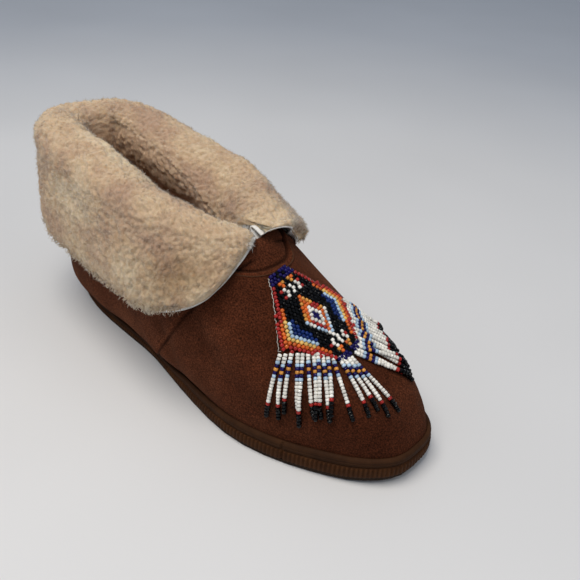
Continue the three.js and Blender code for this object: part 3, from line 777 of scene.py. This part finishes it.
def fibres(name, roots, normals, painted_shade, count, length, radius, material, bent):
    """Wool fibres as slim closed spikes on scattered root points, leaning together in locks."""
    pick = rng.integers(0, len(roots), count)
    base = roots[pick] + rng.normal(0, 0.35, (count, 3))
    normal = normals[pick]
    lean = 1.7 * np.stack([noise_field(base, size=4.5, seed=seed) for seed in (11, 12, 13)], 1)
    lean += rng.normal(0, 0.5, (count, 3))
    lean -= (lean * normal).sum(1, keepdims=True) * normal
    size = (length * rng.uniform(0.6, 1.25, count))[:, None]
    rise = unit(normal * 0.7 + lean * 0.6)
    base = base - normal * 0.4
    side = unit(np.cross(rise, rng.normal(0, 1, (count, 3))))
    other = np.cross(rise, side)
    thick = (radius * rng.uniform(0.7, 1.3, count))[:, None]
    ring = [side * math.cos(a) + other * math.sin(a) for a in even_turns(3)]
    rings = [base + r * thick for r in ring]
    if bent:
        bend = unit(normal * 0.1 + lean + rng.normal(0, 0.35, (count, 3)))
        middle = base + rise * size * 0.55
        rings += [middle + r * thick * 0.8 for r in ring] + [middle + bend * size * 0.5]
        shapes = ((0, 1, 4), (0, 4, 3), (1, 2, 5), (1, 5, 4), (2, 0, 3), (2, 3, 5),
                  (3, 4, 6), (4, 5, 6), (5, 3, 6), (2, 1, 0))
    else:
        rings += [base + rise * size]
        shapes = ((0, 1, 3), (1, 2, 3), (2, 0, 3), (2, 1, 0))
    points = np.stack(rings, 1)
    start = np.arange(count)[:, None, None] * len(rings)
    faces = (start + np.array(shapes)[None]).reshape(-1, 3).tolist()
    obj = make_object(name, points.reshape(-1, 3), faces, [material])
    # Each fibre carries the painted shade at its root
    add_marks(obj, "painted_shade", np.repeat(painted_shade[pick], len(rings)))


def make_cuff():
    columns = 500
    shares = np.concatenate((
        np.linspace(0.01, FLAP_END, 70, endpoint=False),
        np.linspace(FLAP_END, FOLD_END, 60, endpoint=False),
        np.linspace(FOLD_END, 1, 46)))
    rows = len(shares)
    places = np.linspace(-PILE_FRONT, PILE_FRONT, columns)
    along, sweep = spread(places, shares)
    smooth = cuff_pile(along, sweep)
    normals = -grid_normals(smooth, rows, columns)
    outside = fleece(smooth, normals, lump=1.9, curl=2.1)
    back_rows = 14
    inside = cuff_skin(*spread(places, np.linspace(1, 0.01, back_rows)), 1.0)
    points = np.concatenate((outside, inside))
    count = rows + back_rows
    faces = grid_faces(count, columns)
    last = (count - 1) * columns
    faces += [[last + i, last + i + 1, i + 1, i] for i in range(columns - 1)]
    for column in (0, columns - 1):
        pile_line = [r * columns + column for r in range(rows)]
        skin_line = [r * columns + column for r in range(rows, count)][::-1]
        i = j = 0
        while i < len(pile_line) - 1 or j < len(skin_line) - 1:
            if (i + 1) / len(pile_line) <= (j + 1) / len(skin_line):
                i += 1
                face = [pile_line[i - 1], pile_line[i], skin_line[j]]
            else:
                j += 1
                face = [pile_line[i], skin_line[j], skin_line[j - 1]]
            faces.append(face if column == 0 else face[::-1])
    obj = make_object("fleece_cuff", points, [face[::-1] for face in faces], [WOOL])
    ragged = sweep + 0.035 * noise_field(smooth, size=11, seed=21)
    soiled = smooth_step(FOLD_END - 0.06, FOLD_END + 0.09, ragged)
    # Painted shade: darker on the outer flap's front and down inside at the heel
    painted_shade = cuff_painted_shade(along, sweep)
    for mark, values in (("stain", soiled), ("painted_shade", painted_shade)):
        add_marks(obj, mark, np.concatenate((values, np.zeros(len(inside)))))
    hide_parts("cuff")
    shown = np.flatnonzero((sweep < FOLD_END + 0.01) & (sweep > 0.012))
    deep = np.flatnonzero((sweep > FOLD_END) & (sweep < 0.9))
    tuft = np.flatnonzero((along < -0.975) & (sweep > 0.4) & (sweep < 0.56))
    hem = np.flatnonzero((sweep < 0.04) & (np.abs(along) < 0.86))
    # name, roots, count, length, radius, material, whether bent
    for name, roots, *sizes in (
        ("cuff_locks", shown, 9000, 2.1, 0.13, PALE_WOOL, True),
        ("cuff_fuzz", shown, 42000, 1.7, 0.07, PALE_WOOL, False),
        ("inner_fuzz", deep, 8000, 1.8, 0.08, LINING_WOOL, False),
        ("front_tuft", tuft, 90, 3.6, 0.14, SKIN, True),
        ("hem_locks", hem, 1500, 4.0, 0.2, WOOL, True),
    ):
        fibres(name, outside[roots], normals[roots], painted_shade[roots], *sizes)


def make_skin():
    """The cut edge and back of the sheepskin, a thin sheet under the flap's pile."""
    columns, rows = 300, 44
    along, sweep = spread(np.linspace(-1.002, 1.002, columns), np.linspace(-0.014, FOLD_END, rows))
    wave = 0.25 * np.sin(along * 61) * smooth_step(0.3, 0, sweep)
    low = cuff_skin(along, sweep, wave)
    high = cuff_skin(along, sweep, wave + 1.2)
    obj = make_object("skin_edge", np.concatenate((high, low)), slab_faces(rows, columns), [SKIN])


def make_lining():
    """The fleece lining inside the upper, from the cuff's inner leg down to the footbed."""
    columns = 240
    levels = np.linspace(3.9, 1.3, 50)
    phi, v = spread(even_turns(columns), levels)
    thick = 7 + 3.5 * smooth_step(3, 3.9, v)
    smooth = off_point(phi, v, -UPPER_WALL - CUFF_GAP - thick)
    normals = -outer_normal(phi, v)
    inside = fleece(smooth, normals, lump=1.7, curl=1.25)
    back_levels = levels[::-6]
    back = off_point(*spread(even_turns(columns), back_levels), [-UPPER_WALL - CUFF_GAP])
    points = np.concatenate((inside, back))
    faces = torus_faces(len(levels) + len(back_levels), columns)
    obj = make_object("fleece_lining", points, faces, [LINING_WOOL])


def make_footbed():
    columns = 160
    phi = even_turns(columns)
    edge = FOXING_THICKNESS + GAP + UPPER_WALL + GAP + 0.2
    rings = [sole_point(phi, edge, DECK, GAP), sole_point(phi, edge, DECK, GAP + INSOLE_RISE - 2)]
    shares = np.linspace(0.94, 0.04, 22)
    top = sole_point(phi, edge, DECK, GAP + INSOLE_RISE)
    middle = np.stack((top[:, 0], np.full(columns, 2), top[:, 2]), -1)
    upward = np.tile((0.0, 0.0, 1.0), (columns, 1))
    for share in shares:
        ring = middle + (top - middle) * share
        ring[:, 2] = sole_height(DECK, ring[:, 0]) + GAP + INSOLE_RISE
        rings.append(fleece(ring, upward, lump=0.7, curl=0.9))
    points = np.concatenate(rings)
    faces = grid_faces(len(rings), columns, closed=True)
    last = (len(rings) - 1) * columns
    half = columns // 2
    for i in range(half):
        a, b = last + i, last + i + 1
        c, d = last + (columns - i - 1) % columns, last + (columns - i) % columns
        corners = list(dict.fromkeys((a, b, c, d)))
        if len(corners) > 2:
            faces.append(corners)
    faces.append(list(range(columns))[::-1])
    obj = make_object("fleece_footbed", points, faces, [LINING_WOOL])
    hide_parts("insole")


# Beadwork

BEAD_ACROSS = 2.12  # pitch of the beads in a row
BEAD_DOWN = 1.86  # pitch of the rows
CHART_BEND = 46  # radius that turns breadth on the instep into breadth in the flat chart
BEAD_RADIUS = 1.1
BEAD_LENGTH = 1.8
BEAD_LIFT = 1.25  # of a bead's middle off the ornament's underside
BEAD_SIDES = 10
BEAD_PROFILE = ((0.4, -0.5), (0.8, -0.5), (1.0, -0.27), (1.0, 0.27), (0.8, 0.5), (0.4, 0.5))
EYE_DOWN, EYE_LENGTH, EYE_BREADTH = 33, 16.5, 9.2  # the eye's middle and its half sizes
CAP_END, PAIRS_END, CHECKS_END = 4.8, 8.8, 14.2  # reaches of the end motifs from the panel's ends
END_BREADTH = 6.4  # their half breadth


def panel_half(down):
    return np.interp(down, *zip(*PANEL_ROWS))


# Nested bands at the panel's side corners: reach in beads from the edge, colour, and the share of the
# greatest breadth from which each shows above and below the corner
CORNER_BANDS = (
    (1.35, "red", 0.0, 0.0),
    (2.3, "orange", 0.5, 0.36),
    (3.2, "yellow", 0.56, 0.42),
    (4.2, "sky", 0.58, 0.44),
    (6.6, "royal", 0.5, 0.42),
)
EYE_RINGS = ((0.2, "navy"), (0.42, "white"), (0.8, "orange"), (1.0, "sky"))


def end_color(across, from_end, parity):
    """The caps, the orange pairs and the checks at the panel's two ends; None elsewhere."""
    wide = abs(across)
    if from_end < CAP_END:
        return "navy" if parity or wide > 3 else "black"
    if from_end < PAIRS_END and wide < END_BREADTH:
        if wide < 1.2 or wide > 5.2:
            return "black"
        return "orange" if parity else "amber"
    if from_end < CHECKS_END and wide < END_BREADTH:
        if wide > 5.3:
            return "red"
        return "white" if parity else "black"
    return None


def bead_color(across, down, parity):
    """The charted pattern: an eye on a black field, nested bands at the side corners, dark caps."""
    beads_in = (panel_half(down) - abs(across)) / BEAD_ACROSS + 0.5
    from_end = min(down - PANEL_ROWS[0][0], PANEL_ROWS[-1][0] - down)
    at_end = end_color(across, from_end, parity)
    if at_end:
        return at_end
    ring = abs(across) / EYE_BREADTH + abs(down - EYE_DOWN) / EYE_LENGTH
    for reach, color in EYE_RINGS:
        if ring < reach:
            if color == "orange":
                if parity and ring > 0.6:
                    return "amber"
                return "orange" if across * (down - EYE_DOWN) > -8 else "red"
            if color == "sky":
                return "white" if parity else "sky"
            return color
    corner = abs(across) / PANEL_ROWS[2][1]
    for reach, color, above, below in CORNER_BANDS:
        if beads_in < reach:
            return color if corner > (above if down < PANEL_ROWS[2][0] else below) else "black"
    return "black"


def bead_mesh(name, centres, axes, ups, radii, lengths, colors):
    """Beads as barrels with a hole, all in one mesh: axis along each bead's hole. The black ones are cut
    in facets."""
    count = len(centres)
    side = unit(np.cross(axes, ups))
    up = np.cross(side, axes)
    turn = even_turns(BEAD_SIDES) + rng.uniform(0, 2 * math.pi, (count, 1))
    spoke = side[:, None] * np.cos(turn)[..., None] + up[:, None] * np.sin(turn)[..., None]
    rings = []
    for share, place in BEAD_PROFILE:
        rings.append(centres[:, None] + spoke * (radii * share)[:, None, None]
                     + (axes * (lengths * place)[:, None])[:, None])
    points = np.stack(rings, 1).reshape(-1, 3)
    levels = len(BEAD_PROFILE)
    single = np.array(torus_faces(levels, BEAD_SIDES))[:, ::-1]
    start = np.arange(count)[:, None, None] * levels * BEAD_SIDES
    faces = (start + single[None]).reshape(-1, 4).tolist()
    index = np.repeat([BEAD_NAMES.index(c) for c in colors], len(single))
    obj = make_object(name, points, faces, BEADS, index)
    obj.data.polygons.foreach_set("use_smooth", index != BEAD_NAMES.index("black"))
    return obj


def make_panel():
    across, down, colors = [], [], []
    first, last = PANEL_ROWS[0][0], PANEL_ROWS[-1][0]
    rows = int((last - first) / BEAD_DOWN)
    for r in range(rows):
        at = first + (r + 0.5) * BEAD_DOWN
        half = math.asin(panel_half(at) / CHART_BEND) * CHART_BEND
        beads = 2 * round(half / BEAD_ACROSS) + r % 2
        for k in range(beads):
            arc = (k - (beads - 1) / 2) * BEAD_ACROSS
            flat = CHART_BEND * math.sin(arc / CHART_BEND)
            across.append(flat)
            down.append(at)
            colors.append(bead_color(flat, at, (k + r // 2) % 2))
    across, down = np.array(across), np.array(down)
    across = across + rng.normal(0, 0.07, len(across))
    down = down + rng.normal(0, 0.07, len(down))
    phi, v = chart_turn(across, down)
    normals = outer_normal(phi, v)
    lift = ORNAMENT_GAP + BEAD_LIFT + rng.normal(0, 0.06, len(phi))
    centres = outer_point(phi, v) + normals * lift[:, None]
    axes = np.tile(CHART_DOWN, (len(phi), 1))
    axes = axes - (axes * normals).sum(1, keepdims=True) * normals
    axes = unit(axes + rng.normal(0, 0.04, (len(phi), 3)))
    radii = BEAD_RADIUS * rng.uniform(0.93, 1.05, len(phi))
    lengths = BEAD_LENGTH * rng.uniform(0.9, 1.05, len(phi))
    obj = bead_mesh("bead_panel", centres, axes, normals, radii, lengths, colors)
    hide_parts("bead_ornament")
    return obj


def make_backing(beads):
    """The leather that the panel's beads are sewn to, a sheet laid on the instep."""
    columns, rows = 25, 40
    downs = np.linspace(PANEL_ROWS[0][0], PANEL_ROWS[-1][0], rows)
    share, down = spread(np.linspace(-1, 1, columns), downs)
    phi, v = chart_turn(share * (panel_half(down) - 0.3), down)
    high = off_point(phi, v, [ORNAMENT_GAP + 0.6])
    low = off_point(phi, v, [0.1])
    faces = slab_faces(rows, columns)
    obj = make_object("bead_backing", np.concatenate((high, low)), faces, [OUTSOLE_RUBBER])


def make_edge_threads():
    """The pale round thread that shows along the panel's upper edges."""
    radius, sides = 0.16, 6
    down = np.linspace(PANEL_ROWS[0][0] + 0.5, PANEL_ROWS[2][0] + 1, 90)
    threads = []
    for name, side in (("edge_thread_outer", -1), ("edge_thread_inner", 1)):
        wave = 0.15 * np.sin(down * 3.4 + side) + 0.2 * np.sin(down * 1.3)
        phi, v = chart_turn(side * (panel_half(down) + 0.9 + wave), down)
        path = off_point(phi, v, ORNAMENT_GAP + 0.5 + 0.3 * np.cos(down * 3.4))
        ahead = unit(np.gradient(path, axis=0))
        level = unit(np.cross(ahead, (0.0, 0.0, 1.0)))
        other = np.cross(ahead, level)
        rings = [path + (level * math.cos(t) + other * math.sin(t)) * radius for t in even_turns(sides)]
        points = np.stack(rings, 1).reshape(-1, 3)
        obj = make_object(name, points, tube_faces(len(path), sides), [PALE_THREAD])
        threads.append(obj)
    return threads


STRAND_PITCH = 1.72  # from bead to bead along a strand
STRAND_RADIUS = 1.12
STRAND_LENGTH = 1.66  # of one bead
END_RADIUS = 1.3  # of the black beads at a strand's end
STRAND_LIFT = 1.5  # of a strand's middle off the suede's smooth face
STRAND_SNUG = 0.95  # share of two radii at which beads of different strands rest on each other


def walk_strand(phi, v, heading, bend, places):
    """Points and normals at places along a line over the upper that starts at turn phi and level v and
    turns by bend in each millimetre."""
    points, normals = [], []
    walked = 0.0
    for place in places:
        while walked < place:
            step = min(0.9, place - walked)
            around, up = (slope[0] for slope in outer_slopes(phi, v))
            normal = unit(np.cross(around, up))
            heading = heading + np.cross(normal, heading) * bend * step
            heading = unit(heading - (heading @ normal) * normal)
            slopes = np.stack((around, up))
            turned, raised = np.linalg.solve(slopes @ slopes.T, slopes @ heading * step)
            phi = phi + turned
            v = v + raised
            walked += step
        points.append(outer_point(phi, v)[0])
        normals.append(normal)
    return np.array(points), np.array(normals)


def settle(points, normals, radii, laid, laid_radii):
    """Heights by which a strand's beads rise so that they clear the beads laid before."""
    rises = np.zeros(len(points))
    for i, (point, normal) in enumerate(zip(points, normals)):
        above = (point - laid) @ normal
        aside = ((point - laid) ** 2).sum(1) - above ** 2
        room = (STRAND_SNUG * (laid_radii + radii[i])) ** 2 - aside
        near = above ** 2 < room
        while near.any():
            rises[i] = np.max(np.sqrt(room[near]) - above[near]) + 0.001
            near = (above + rises[i]) ** 2 < room
    eased = np.convolve(np.pad(rises, 1, mode="edge"), (0.25, 0.5, 0.25), "valid")
    return np.maximum(rises, eased)


def make_fringe():
    """Strands that lie on the instep from the panel's lower edges, each over those laid before it."""
    middle = ["sky", "navy", "amber", "navy", "sky"]
    corner, tip = PANEL_ROWS[2], PANEL_ROWS[3]
    centres, radii, axes, ups, colors = np.empty((0, 3)), np.empty(0), [], [], []
    for side, slants in ((-1, OUTER_SLANTS), (1, INNER_SLANTS)):
        for k, slant in enumerate(slants):
            share = (k + 0.1) / len(slants)
            across = side * (corner[1] - 0.6) * (1 - share)
            down = corner[0] + (tip[0] - STRAND_SEAT - corner[0]) * share
            phi, v = chart_turn(np.array((across,)), np.array((down,)))
            heading = CHART_DOWN * math.cos(slant) + CHART_ACROSS * math.sin(slant)
            order = ["white"] * rng.integers(2, 4) + middle + ["white"] * rng.integers(6, 9)
            order += ["red"] + ["black"] * 4
            places = STRAND_SEAT + (rng.uniform(0.3, 0.9) + np.arange(len(order))) * STRAND_PITCH
            points, normals = walk_strand(phi, v, heading, rng.uniform(-0.005, 0.005), places)
            sizes = np.where(np.array(order) == "black", END_RADIUS, STRAND_RADIUS)
            sizes = sizes * rng.uniform(0.9, 1.08, len(order))
            points += normals * STRAND_LIFT
            points += normals * settle(points, normals, sizes, centres, radii)[:, None]
            centres = np.concatenate((centres, points))
            radii = np.concatenate((radii, sizes))
            axes.append(np.gradient(points, axis=0))
            ups.append(normals)
            colors += order
    count = len(centres)
    axes = unit(unit(np.concatenate(axes)) + rng.normal(0, 0.08, (count, 3)))
    lengths = STRAND_LENGTH * rng.uniform(0.88, 1.04, count)
    return bead_mesh("bead_fringe", centres, axes, np.concatenate(ups), radii, lengths, colors)


make_upper()
make_stitches()
make_foxing()
finish_outsole()
make_cuff()
make_skin()
make_lining()
make_footbed()
make_backing([make_panel(), make_fringe(), *make_edge_threads()])


# Floor, light and camera

FLOOR_REACH = 30  # metres


def make_floor():
    mesh = bpy.data.meshes.new("floor")
    corners = [(x * FLOOR_REACH, y * FLOOR_REACH, 0) for x, y in ((-1, -1), (1, -1), (1, 1), (-1, 1))]
    mesh.from_pydata(corners, [], [(0, 1, 2, 3)])
    material, tree, shader = node_material("floor")
    tone = ramp_node(tree, noise_node(tree, scale=3, detail=2.0), (
        (0.3, (0.69, 0.68, 0.67)), (0.7, (0.74, 0.73, 0.72))))
    # Painted shade: the floor is painted darker and bluer far from the slipper
    near = add_node(tree, "TexGradient", {"Vector": object_coords(tree)}, {})
    near.gradient_type = "SPHERICAL"
    shade = ramp_node(tree, near.outputs["Fac"], ((0.15, (0.80, 0.83, 0.88)), (0.6, WHITE)))
    fill_inputs(tree, shader, {"Base Color": mix_colors(tree, tone, shade)}, {"Roughness": 0.7})
    mesh.materials.append(material)
    floor = add_object("floor", mesh)


# Name, place and aim in metres, size, power, colour
LIGHTS = (
    ("key", (-0.02, -0.36, 1.2), (0.0, 0.0, 0.05), 0.8, 9.6, (1.0, 0.95, 0.88)),
    ("glint", (0.35, -0.55, 1.0), (0.05, 0.0, 0.05), 0.05, 1.4, (1.0, 1.0, 1.0)),
    ("fill", (1.1, 0.3, 0.9), (0.1, 0.0, 0.0), 1.0, 2.2, (1.0, 0.93, 0.85)),
)


def make_lights():
    scene = bpy.context.scene
    scene.view_settings.view_transform = "Standard"
    scene.world = bpy.data.worlds.new("studio")
    scene.world.use_nodes = True
    tree = scene.world.node_tree
    sky = {"Color": (0.72, 0.83, 1.0, 1), "Strength": 0.36}
    fill_inputs(tree, tree.nodes["Background"], {}, sky)
    for name, place, aim, size, power, color in LIGHTS:
        light = bpy.data.lights.new(name, "AREA")
        light.shape = "DISK"
        light.size = size
        light.energy = power
        light.color = color
        obj = add_object(name, light)
        obj.location = place
        obj.rotation_euler = (Vector(aim) - Vector(place)).to_track_quat("-Z", "Y").to_euler()


CAMERA_PLACE = np.array((253.47, -228.55, 280.25))
CAMERA_AZIMUTH = math.radians(47.96)
CAMERA_ELEVATION = math.radians(35.3)
FOCAL_PIXELS = 705.2
FRAME_PIXELS = 580
AIM_PIXEL = (223.1, 307.2)  # where the direction of that azimuth and elevation falls in the picture
SENSOR = 36


def make_camera():
    data = bpy.data.cameras.new("camera")
    data.sensor_fit = "HORIZONTAL"
    data.sensor_width = SENSOR
    data.lens = FOCAL_PIXELS / FRAME_PIXELS * SENSOR
    data.clip_start = 0.01
    yaw = math.atan2(FRAME_PIXELS / 2 - AIM_PIXEL[0], FOCAL_PIXELS)
    pitch = math.atan2((AIM_PIXEL[1] - FRAME_PIXELS / 2) * math.cos(yaw), FOCAL_PIXELS)
    tilt = math.pi / 2 - CAMERA_ELEVATION
    pose = Matrix.Translation((CAMERA_PLACE + ORIGIN) * MM)
    for angle, axis in ((CAMERA_AZIMUTH, "Z"), (tilt, "X"), (-yaw, "Y"), (pitch, "X")):
        pose = pose @ Matrix.Rotation(angle, 4, axis)
    camera = add_object("camera", data)
    camera.matrix_world = pose
    bpy.context.scene.camera = camera


make_floor()
make_lights()
make_camera()
